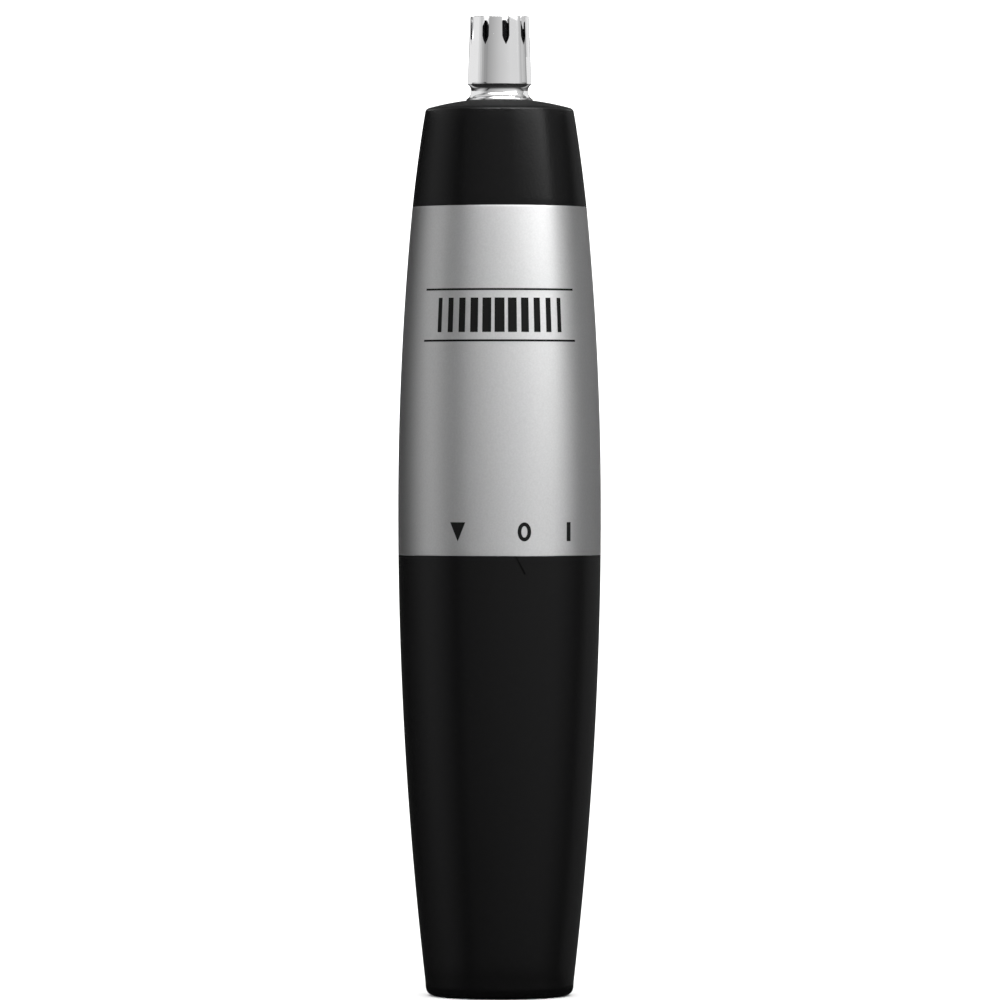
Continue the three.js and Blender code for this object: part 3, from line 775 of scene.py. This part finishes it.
def groove(seal, surface):
    """Profile corners of the groove that holds a seal, cut into a surface of a given radius."""
    floor = seal["radius"] - seal["section"] - 0.1
    half = seal["section"] + 0.12
    low = seal["height"] - half
    high = seal["height"] + half
    return [(surface, low, 0.1), (floor, low, 0.1), (floor, high, 0.1), (surface, high, 0.1)]


def lugs(shape, root):
    """Bayonet lugs that start a little inside a root of a given radius."""
    buried = 0.3
    return [
        sector(
            "lug",
            root - buried,
            shape["radius"],
            angle - shape["half"],
            angle + shape["half"],
            shape["low"],
            shape["high"],
        )
        for angle in shape["angles"]
    ]


def chassis():
    c = CHASSIS
    profile = softened(
        [
            (0, c["wall_bottom"]),
            (c["spigot_bore"], c["wall_bottom"], 0.3),
            (c["spigot_bore"], c["spigot_bottom"], 0.4),
            (c["spigot_radius"], c["spigot_bottom"], 0.3),
            *groove(COVER_SEAL, c["spigot_radius"]),
            (c["spigot_radius"], c["flange_bottom"], 0.15),
            (c["flange_radius"], c["flange_bottom"], 0.2),
            (c["flange_radius"], c["flange_top"], 0.2),
            (c["cradle_radius"], c["flange_top"], 0.15),
            (c["cradle_radius"], c["plate_top"], 0.3),
            (c["neck_radius"], c["plate_top"] + 2, 0.3),
            (c["neck_radius"], c["collar_bottom"], 0.2),
            (c["collar_radius"], c["collar_bottom"], 0.2),
            (c["collar_radius"], c["collar_top"], 0.2),
            (c["neck_radius"], c["collar_top"], 0.2),
            *groove(HEAD_SEAL, c["neck_radius"]),
            (c["neck_radius"], c["neck_top"], 0.4),
            (c["neck_bore"], c["neck_top"], 0.3),
            (c["neck_bore"], c["plate_top"], 0.3),
            (c["boss_hole"], c["plate_top"], 0.2),
            (c["boss_hole"], c["plate_bottom"], 0.2),
            (c["cradle_bore"], c["plate_bottom"], 0.3),
            (c["cradle_bore"], c["wall_top"], 0.3),
            (0, c["wall_top"]),
        ],
        closed=False,
        steps=3,
    )
    body = lathe("chassis", profile, 144)
    unite(body, *lugs(COVER_LUG, c["spigot_radius"]), *lugs(NECK_LUG, c["neck_radius"]))
    below = c["plate_bottom"] - BEYOND
    above = c["plate_top"] + BEYOND
    hole = [(0, below), (SCREW_RADIUS, below), (SCREW_RADIUS, above), (0, above)]
    screw_holes = [shift_back(lathe("hole", hole, 32), side * SCREW_REACH) for side in (-1, 1)]
    outside = c["cradle_radius"] + BEYOND
    opening = (c["flange_top"] + GAP, c["plate_bottom"] - GAP)
    switch_angle = 90 + TURN_TO_ON
    return carve(
        body,
        block("back", (-outside, outside), (BACK_CUT, outside), opening),
        block(
            "slot", (TERMINAL_X - GAP, TERMINAL_X + 2 * GAP), (-TERMINAL_HALF, TERMINAL_HALF), SLOT_HEIGHTS
        ),
        sector(
            "slot",
            SWITCH_INNER - GAP,
            SWITCH_INNER + 2 * GAP,
            switch_angle - SWITCH_HALF,
            switch_angle + SWITCH_HALF,
            *SLOT_HEIGHTS,
        ),
        *screw_holes,
    )


place(chassis(), grey_plastic, "housing", "grey_plastic", "motor_chassis")


def ring_seal(name, seal):
    """A round ring with the fine line that its mould leaves on the outside."""
    profile = []
    steps = 24
    mould_line = 0.02
    for step in range(steps):
        angle = 2 * math.pi * step / steps
        flash = mould_line if step == 0 else 0
        radius = seal["radius"] + (seal["section"] + flash) * math.cos(angle)
        profile.append((radius, seal["height"] + seal["section"] * math.sin(angle)))
    return lathe(name, profile, 144)


place(ring_seal("cover_ring", COVER_SEAL), seal_rubber, "cover_seal", "seal_rubber", "cover_seal")
place(ring_seal("head_ring", HEAD_SEAL), seal_rubber, "head_seal", "seal_rubber", "head_seal")

# ------------------------------------------------------------------ battery

BATTERY_RADIUS = 7.2
CELL_BOTTOM = bottom("battery_cell")
CELL_TOP = top("battery_cell")
BAND_BOTTOM = CELL_TOP - 13  # the silver band covers the top 13 mm


def battery_pieces():
    """The cell's film, its silver band and its positive nub, each a turned piece."""
    film_lip = 0.5
    film_edge = CELL_BOTTOM + 0.2
    dish_radius = 4.2
    dish_floor = CELL_BOTTOM + 0.15
    joint = 0.02  # the film and the band each stop this short of where they meet
    body = softened(
        [
            (0, dish_floor),
            (dish_radius, dish_floor, 0.3),
            (dish_radius + 0.4, CELL_BOTTOM, 0.2),
            (BATTERY_RADIUS - film_lip - 0.5, CELL_BOTTOM, 0.15),
            (BATTERY_RADIUS - film_lip, film_edge, 0.1),
            (BATTERY_RADIUS, film_edge, 0.4),
            (BATTERY_RADIUS, BAND_BOTTOM - joint, joint),
            (0, BAND_BOTTOM - joint),
        ],
        closed=False,
    )
    band = softened(
        [
            (0, BAND_BOTTOM + joint),
            (BATTERY_RADIUS, BAND_BOTTOM + joint, joint),
            (BATTERY_RADIUS, CELL_TOP, 0.5),
            (BATTERY_RADIUS - 1.2, CELL_TOP, 0.2),
            (BATTERY_RADIUS - 1.5, CELL_TOP - 0.3, 0.1),
            (0, CELL_TOP - 0.3),
        ],
        closed=False,
    )
    place(lathe("cell_body", body), battery_film, "battery", "battery_wrap", "battery_cell")
    place(lathe("cell_band", band), battery_band, "battery", "battery_wrap")
    low = bottom("battery_cap")
    high = top("battery_cap")
    plate_radius = 4.4
    nub_radius = 2.75
    cap = softened(
        [
            (0, low),
            (plate_radius, low, 0.05),
            (plate_radius, low + 0.2, 0.1),
            (nub_radius, low + 0.25, 0.2),
            (nub_radius, high, 0.35),
            (0, high),
        ],
        closed=False,
    )
    place(lathe("cell_cap", cap), steel, "battery", "steel", "battery_cap")


battery_pieces()

# ------------------------------------------------------------------ head cap


CAP_FOOT_RADIUS = 12.02
CAP_TAPER = 0.104
CAP_CURVE = 0.0022
CAP_CREST = 123.72
CAP_DOME_RADIUS = 36


def cap_radius(height):
    """Outer radius of the cap's side at a height."""
    rise = height - CAP_BOTTOM
    return CAP_FOOT_RADIUS - CAP_TAPER * rise - CAP_CURVE * rise * rise


def cap_dome(radius):
    """Height of the cap's slightly domed top."""
    return CAP_CREST - radius * radius / (2 * CAP_DOME_RADIUS)


def head_cap():
    shoulder = cap_radius(122.4)
    stem_hole = 3.9
    recess_radius = 8
    recess_bottom = 115.6
    recess_top = 121.3
    profile = softened(
        [
            (cap_radius(CAP_BOTTOM), CAP_BOTTOM, 0.1),
            *[(cap_radius(height), height) for height in (110, 112, 114, 116, 118, 120)],
            (shoulder, cap_dome(shoulder), 0.45),
            *[(radius, cap_dome(radius)) for radius in (9, 8, 7, 6, 5.2)],
            (stem_hole, cap_dome(stem_hole), 0.15),
            (stem_hole, recess_top, 0.2),
            (recess_radius, recess_top, 0.4),
            (recess_radius, recess_bottom, 0.2),
            (CAP_BORE, recess_bottom, 0.3),
            (CAP_BORE, CAP_BOTTOM, 0.25),
        ],
        steps=6,
    )
    shell = lathe("cap_shell", profile, ROUND)
    reach = NECK_LUG["half"] + LUG_CLEARANCE
    channels = [
        sector(
            "channel",
            CAP_BORE - BEYOND / 2,
            NECK_LUG["radius"] + GAP,
            angle - CAP_TURN - reach,
            angle + reach,
            CAP_BOTTOM - BEYOND,
            NECK_LUG["high"] + LUG_HEADROOM,
        )
        for angle in NECK_LUG["angles"]
    ]
    return carve(shell, *channels)


place(head_cap(), cap_black, "head", "black_shell", "head_cap")

# ------------------------------------------------------------------ cutting guard and blade

GUARD_BORE = 3.45
GUARD_SLOTS = 9
FIRST_SLOT = 12.1  # degrees from the front, like FIRST_TOOTH


def neck_curve():
    """The waist between the guard's foot and its tube: two hollow arcs that meet at the narrowest."""
    waist_radius = 3.92
    waist_height = 124.72
    steps = 10
    points = []
    for reach, curve in ((-1.1, 1.25), (0.86, 1.25)):
        heights = [reach * step / steps for step in range(steps + 1)]
        arc = [(waist_radius + curve - math.sqrt(curve**2 - h * h), waist_height + h) for h in heights]
        points += arc[::-1] if reach < 0 else arc[1:]
    return points


def cutting_guard():
    stem_bore = 2.9
    stem_radius = 3.6
    stem_bottom = 118.2
    foot_radius = 4.6
    foot_height = 123.41
    inner_step = 124.4
    tube_bottom = 125.85
    tube_radius = 4.41
    taper = 0.041
    tube_rows = [0.6 * step for step in range(15)]
    profile = softened(
        [
            (stem_bore, stem_bottom, 0.1),
            (stem_radius, stem_bottom, 0.15),
            (stem_radius, foot_height, 0.05),
            (foot_radius, foot_height, 0.02),
            *neck_curve(),
            (tube_radius + 0.01, tube_bottom - 0.25, 0.06),
            *[(tube_radius - taper * rise, tube_bottom + rise) for rise in tube_rows],
            (4.03, GUARD_TOP, 0.12),
            (GUARD_BORE, GUARD_TOP, 0.12),
            (GUARD_BORE, inner_step, 0.1),
            (stem_bore, inner_step, 0.1),
        ],
        steps=4,
    )
    body = lathe("guard_tube", profile, 180)
    point = [(-0.5, 132.2), (-0.35, 131.7), (0, 131), (0.35, 131.7), (0.5, 132.2)]
    slot_outline = [(-0.5, GUARD_TOP + BEYOND), *point, (0.5, GUARD_TOP + BEYOND)]
    slot = prism("slot", slot_outline, -6, -2.5)
    slots = [copy_turned(slot, FIRST_SLOT + 360 / GUARD_SLOTS * index) for index in range(GUARD_SLOTS)]
    bpy.data.objects.remove(slot)
    return carve(body, merged("slots", slots))


place(cutting_guard(), chrome, "head", "guard_chrome", "cutting_guard")

BLADE_TEETH = 7
FIRST_TOOTH = 11.6


def rotary_blade():
    """A thin cup with pointed teeth, and a narrow slit below each of the gaps between them."""
    low = bottom("rotary_blade")
    high = top("rotary_blade")
    valley = high - 1.05
    foot = 131.2
    bore = 1.15
    outer = 3.2
    inner = 2.7
    floor_top = low + 0.6
    cup = lathe(
        "blade_cup",
        softened(
            [
                (bore, low, 0.1),
                (outer, low, 0.3),
                (outer, high, 0.05),
                (inner, high, 0.05),
                (inner, floor_top, 0.3),
                (bore, floor_top, 0.1),
            ]
        ),
        168,
    )
    notch = prism(
        "notch",
        [
            (-1.64, high + BEYOND),
            (-0.7, valley),
            (-0.35, valley),
            (-0.35, foot),
            (0.35, foot),
            (0.35, valley),
            (0.7, valley),
            (1.64, high + BEYOND),
        ],
        -4.2,
        -1.6,
    )
    pitch = 360 / BLADE_TEETH
    notches = [copy_turned(notch, FIRST_TOOTH + pitch * (index + 0.5)) for index in range(BLADE_TEETH)]
    bpy.data.objects.remove(notch)
    return carve(cup, *notches)


# The blade wears the near-black steel whose colour is painted shade for the head's dark inside.
place(rotary_blade(), painted_shade_steel, "cutter", "blade_steel", "rotary_blade")

head_spring = coil(
    "head_spring", start_radius=1.9, end_radius=1.9, low=125.6, high=128.1, turns=4, wire=0.25
)
place(head_spring, spring_wire, "cutter", "spring_steel", "cutter_spring")

# ------------------------------------------------------------------ turned and moulded inner pieces


def spindle():
    low = bottom("cutter_spindle")
    high = top("cutter_spindle")
    radius = 1
    profile = softened([(0, low), (radius, low, 0.2), (radius, high, 0.15), (0, high)], closed=False)
    return lathe("spindle_rod", profile)


place(spindle(), steel, "cutter", "steel", "cutter_spindle")

DOG = {"bore": 1.15, "hub": 2.2, "inner": 2.6, "outer": 4.6, "angle": 50, "lead": 5}


def dog(name, start, hub, disc, fingers):
    """A driving dog: a hub and a disc with two fingers. Each pair holds a low and a high height."""

    def ring(label, inner, outer, heights, cut):
        low, high = heights
        return lathe(label, softened([(inner, low), (outer, low, cut), (outer, high, cut), (inner, high)]))

    body = ring(name, DOG["bore"], DOG["hub"], hub, 0.2)
    inside_hub = 1.5
    unite(body, ring("disc", inside_hub, DOG["outer"], disc, 0.25))
    for side in (0, 180):
        first = start + side
        unite(body, sector("finger", DOG["inner"], DOG["outer"], first, first + DOG["angle"], *fingers))
    bevel(body, 0.12)
    apply_modifiers(body)
    return body


cutter_start = DOG["angle"] / 2 + DOG["lead"]
cutter_dog = dog(
    "cutter_coupling", cutter_start, hub=(101.6, 106), disc=(101.6, 103), fingers=(97.6, 101.9)
)
place(cutter_dog, acetal, "cutter", "white_plastic", "cutter_dog")
drive_start = -DOG["angle"] / 2
drive_dog = dog(
    "drive_coupling", drive_start, hub=(93.4, 97.2), disc=(95.8, 97.2), fingers=(96.9, 101.2)
)
place(drive_dog, acetal, "rotor", "white_plastic", "drive_dog")

# ------------------------------------------------------------------ CAD pieces that keep their shape

CARRIED = {
    "contact_strip": (brass, 0.05),
    "positive_contact": (brass, 0.05),
    "switch_contact": (brass, 0.05),
    "motor_can": (motor_plate, 0.3),
    "motor_end_cap": (acetal, 0.2),
    "motor_magnet_right": (ferrite, 0.2),
    "motor_magnet_left": (ferrite, 0.2),
    "motor_brush_right": (copper_sheet, 0.05),
    "motor_brush_left": (copper_sheet, 0.05),
    "motor_bearing_top": (brass, 0.1),
    "motor_bearing_bottom": (brass, 0.1),
    "motor_screw_front": (steel, 0.08),
    "motor_screw_back": (steel, 0.08),
    "shaft_seal": (seal_rubber, 0.1),
    "motor_shaft": (steel, 0.15),
    "armature_core": (laminations, 0.1),
    "armature_winding_1": (winding_wire, 0.3),
    "armature_winding_2": (winding_wire, 0.3),
    "armature_winding_3": (winding_wire, 0.3),
    "commutator": (copper_sheet, 0.05),
    "guard_retainer": (steel, 0.1),
    "cutter_bush": (acetal, 0.1),
    "spindle_clip": (steel, 0.06),
}

for node_name, (look, width) in CARRIED.items():
    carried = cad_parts[node_name]
    carried.data.materials.clear()
    carried.data.materials.append(look.material)
    shade(carried)
    bevel(carried, width)

# ------------------------------------------------------------------ stage


def floor():
    """A wide pale floor that the reflections leave out, as on a light table."""
    size = 6.0
    mesh = bpy.data.meshes.new("floor")
    corners = [(-size, -size, 0), (size, -size, 0), (size, size, 0), (-size, size, 0)]
    mesh.from_pydata(corners, [], [(0, 1, 2, 3)])
    made = add_object("floor", mesh)
    look = Look("pale_floor", (0.93, 0.93, 0.93), 0.9, 0.0, Specular_IOR_Level=0.0).rough(40, 0.85, 0.95)
    made.data.materials.append(look.material)
    made.visible_glossy = False


floor()


def contact_card():
    """A dark disc that only the reflections see, a painted shadow: the shaded floor close round the foot.
    """
    reach = 28
    upper = -0.5
    lower = -0.6
    profile = [(0, lower), (reach, lower), (reach, upper), (0, upper)]
    card = lathe("contact_card", profile, 64)
    look = Look("contact_shade", (0.01, 0.01, 0.01), 1.0, 0.0, Specular_IOR_Level=0.0).rough(10, 0.9, 1.0)
    fall_off = look.node("ShaderNodeTexGradient")
    fall_off.gradient_type = "SPHERICAL"
    mapping = look.node("ShaderNodeMapping", Scale=(1 / (reach * MM),) * 3)
    look.link(look.place, mapping.inputs["Vector"])
    look.link(mapping.outputs["Vector"], fall_off.inputs["Vector"])
    look.link(look.ranged(fall_off.outputs["Fac"], 0, 1, start=0, end=0.35), look.shader.inputs["Alpha"])
    card.data.materials.append(look.material)
    card.visible_camera = False
    card.visible_diffuse = False
    card.visible_shadow = False


contact_card()


# White cards that only the guard's polish mirrors. Each has its first and last compass direction
# right of the camera and its brightness.
GUARD_CARD_PLACE = {"distance": 28, "low": 125, "high": 138}
GUARD_CARDS = (
    (-152, -80, 0.8),
    (-80, -72, 0.68),
    (-72, -64, 0.56),
    (-64, -56, 0.41),
    (-56, -45, 0.32),
    (82, 92, 0.55),
    (92, 102, 0.49),
    (102, 114, 0.34),
    (114, 126, 0.72),
    (126, 152, 0.82),
)
NECK_CARD_PLACE = {"distance": 16, "low": 124.2, "high": 129}
NECK_CARDS = ((-150, -105, 0.8), (105, 150, 0.8))


def reflector_card(start, end, brightness, distance, low, high):
    """A curved white strip that climbs toward the camera as the tapered guard's reflections do."""
    level_climb = 2.9
    taper_climb = 4.6
    card = sector("reflector_card", distance, distance + 1, start - 90, end - 90, low, high, 48)
    for vertex in card.data.vertices:
        from_behind = math.atan2(abs(vertex.co.x), vertex.co.y)
        climb = level_climb + taper_climb * math.sin(from_behind / 2)
        vertex.co.z += distance * MM * math.tan(math.radians(climb))
    look = Look("white_card", (0.0, 0.0, 0.0), 1.0, Specular_IOR_Level=0.0, Emission_Strength=brightness)
    look.shader.inputs["Emission Color"].default_value = (1, 1, 1, 1)
    card.data.materials.append(look.rough(10, 0.9, 1.0).material)
    card.visible_camera = False
    card.visible_diffuse = False
    card.visible_shadow = False


for guard_card in GUARD_CARDS:
    reflector_card(*guard_card, **GUARD_CARD_PLACE)
for neck_card in NECK_CARDS:
    reflector_card(*neck_card, **NECK_CARD_PLACE)

# The studio as the object mirrors it. Each list runs round the compass from straight behind, past
# the left, the camera at 0 and the right, as (degrees, brightness). They are the walls, a strip high
# up in front, a glow behind, and a key light that stands on the right and shines back off the floor.
SURROUND = (
    (-180, 0.06),
    (-140, 0.02),
    (-122, 0.1),
    (-109, 0.3),
    (-97, 0.62),
    (-87, 0.76),
    (-76, 0.68),
    (-64, 0.43),
    (-52, 0.04),
    (-43, 0.43),
    (0, 0.7),
    (40, 0.86),
    (70, 0.85),
    (86, 0.48),
    (106, 0.08),
    (122, 0.3),
    (145, 0.16),
    (180, 0.06),
)
CEILING = (
    (-180, 0),
    (-60, 0),
    (-48, 0.12),
    (-26, 0.85),
    (-5, 1.0),
    (30, 1.0),
    (60, 0.6),
    (84, 0.4),
    (90, 0),
    (180, 0),
)
CEILING_RADIANCE = 14.0
FLOOR_RADIANCE = 11.0
REAR = (
    (-180, 0.35),
    (-160, 0.8),
    (-135, 1.0),
    (-115, 0.45),
    (-95, 0),
    (95, 0),
    (120, 0.5),
    (150, 0.65),
    (180, 0.35),
)
KEY = ((-180, 0), (19, 0), (21, 0.25), (66, 1.0), (73, 1.0), (75, 0), (180, 0))
KEY_RADIANCE = 3.7
WALL_SPREAD = 0.008  # share by which the walls' pattern widens for each degree of elevation
KEY_TILT = 0.2  # degrees that the key's lower edge sinks for each degree to the right


def studio_world():
    """Plain white light for the floor and the background, and a studio for the reflections."""
    world = bpy.data.worlds.new("studio")
    world.use_nodes = True
    world.cycles.sampling_method = "NONE"
    bpy.context.scene.world = world
    tree = world.node_tree
    tree.nodes.clear()

    def node(kind, **inputs):
        made = tree.nodes.new(kind)
        for socket, value in inputs.items():
            made.inputs[socket.replace("_", " ")].default_value = value
        return made

    def calculate(operation, *terms):
        made = node("ShaderNodeMath")
        made.operation = operation
        for index, term in enumerate(terms):
            if isinstance(term, (int, float)):
                made.inputs[index].default_value = term
            else:
                tree.links.new(term, made.inputs[index])
        return made.outputs[0]

    def fade(source, start, end, low=0.0, high=1.0):
        made = node("ShaderNodeMapRange", From_Min=start, From_Max=end, To_Min=low, To_Max=high)
        made.interpolation_type = "SMOOTHSTEP"
        tree.links.new(source, made.inputs["Value"])
        return made.outputs["Result"]

    direction = node("ShaderNodeTexCoord").outputs["Generated"]
    parts = node("ShaderNodeSeparateXYZ")
    tree.links.new(direction, parts.inputs[0])
    toward_camera = calculate("MULTIPLY", parts.outputs["Y"], -1)
    compass = calculate("DEGREES", calculate("ARCTAN2", parts.outputs["X"], toward_camera))
    elevation = calculate("DEGREES", calculate("ARCSINE", parts.outputs["Z"]))

    def round_the_compass(levels, bearing=compass):
        share = fade(bearing, -180, 180)
        share.node.interpolation_type = "LINEAR"
        ramp = node("ShaderNodeValToRGB")
        ramp.color_ramp.interpolation = "LINEAR"
        stops = ramp.color_ramp.elements
        stops.remove(stops[-1])
        for index, (degrees, brightness) in enumerate(levels):
            position = degrees / 360 + 0.5
            stop = stops[0] if index == 0 else stops.new(position)
            stop.position = position
            stop.color = (brightness, brightness, brightness, 1)
        tree.links.new(share, ramp.inputs["Fac"])
        return ramp.outputs["Color"]

    def light(levels, radiance, fade_in, fade_out, height=elevation):
        """A light round the compass that fades in and out between two pairs of elevations."""
        level = calculate("MULTIPLY", round_the_compass(levels), radiance)
        reach = calculate("MULTIPLY", fade(height, *fade_in), fade(elevation, *fade_out, 1.0, 0.0))
        return calculate("MULTIPLY", level, reach)

    walls_end = (38, 58)
    dimmed_below = fade(elevation, -16, -2, 0.45, 1.0)
    beside = calculate("MULTIPLY", dimmed_below, fade(elevation, *walls_end, 1.0, 0.0))
    overhead = fade(elevation, *walls_end, 0.0, 0.8)
    spread = calculate("SUBTRACT", 1, calculate("MULTIPLY", elevation, WALL_SPREAD))
    walls = round_the_compass(SURROUND, calculate("MULTIPLY", compass, spread))
    surround = calculate("ADD", calculate("MULTIPLY", walls, beside), overhead)
    tilted = calculate("ADD", elevation, calculate("MULTIPLY", compass, KEY_TILT))
    key = light(KEY, KEY_RADIANCE, fade_in=(20.5, 31), fade_out=(50, 65), height=tilted)
    ceiling = light(CEILING, CEILING_RADIANCE, fade_in=(33, 41), fade_out=(46, 56))
    glow = light(KEY, FLOOR_RADIANCE, fade_in=(-55, -45), fade_out=(-40, -30))
    rear = calculate("MULTIPLY", round_the_compass(REAR), fade(elevation, -22, -9, 1.0, 0.0))
    upper = calculate("ADD", key, ceiling)
    lower = calculate("ADD", glow, rear)
    reflected = calculate("ADD", surround, calculate("ADD", upper, lower))

    path = node("ShaderNodeLightPath")
    reflection = node("ShaderNodeBackground")
    tree.links.new(reflected, reflection.inputs["Strength"])
    white = node("ShaderNodeBackground", Color=(1, 1, 1, 1), Strength=1.7)
    mix = node("ShaderNodeMixShader")
    tree.links.new(path.outputs["Is Glossy Ray"], mix.inputs[0])
    tree.links.new(white.outputs[0], mix.inputs[1])
    tree.links.new(reflection.outputs[0], mix.inputs[2])
    output = node("ShaderNodeOutputWorld")
    tree.links.new(mix.outputs[0], output.inputs["Surface"])


studio_world()


def softbox(name, compass, elevation, distance, width, height, radiance):
    """A rectangular soft light aimed at the cap, at a compass direction right of the camera."""
    data = bpy.data.lights.new(name, "AREA")
    data.shape = "RECTANGLE"
    data.size = width
    data.size_y = height
    data.energy = radiance * math.pi * width * height
    light = add_object(name, data)
    across = math.radians(compass)
    up = math.radians(elevation)
    target = Vector((0, 0, CAP_BOTTOM * MM))
    toward = Vector((math.sin(across) * math.cos(up), -math.cos(across) * math.cos(up), math.sin(up)))
    light.location = target + toward * distance
    light.rotation_euler = (-toward).to_track_quat("-Z", "Y").to_euler()
    light.visible_camera = False


softbox("key_softbox", compass=52, elevation=36, distance=0.6, width=0.5, height=0.24, radiance=0.3)
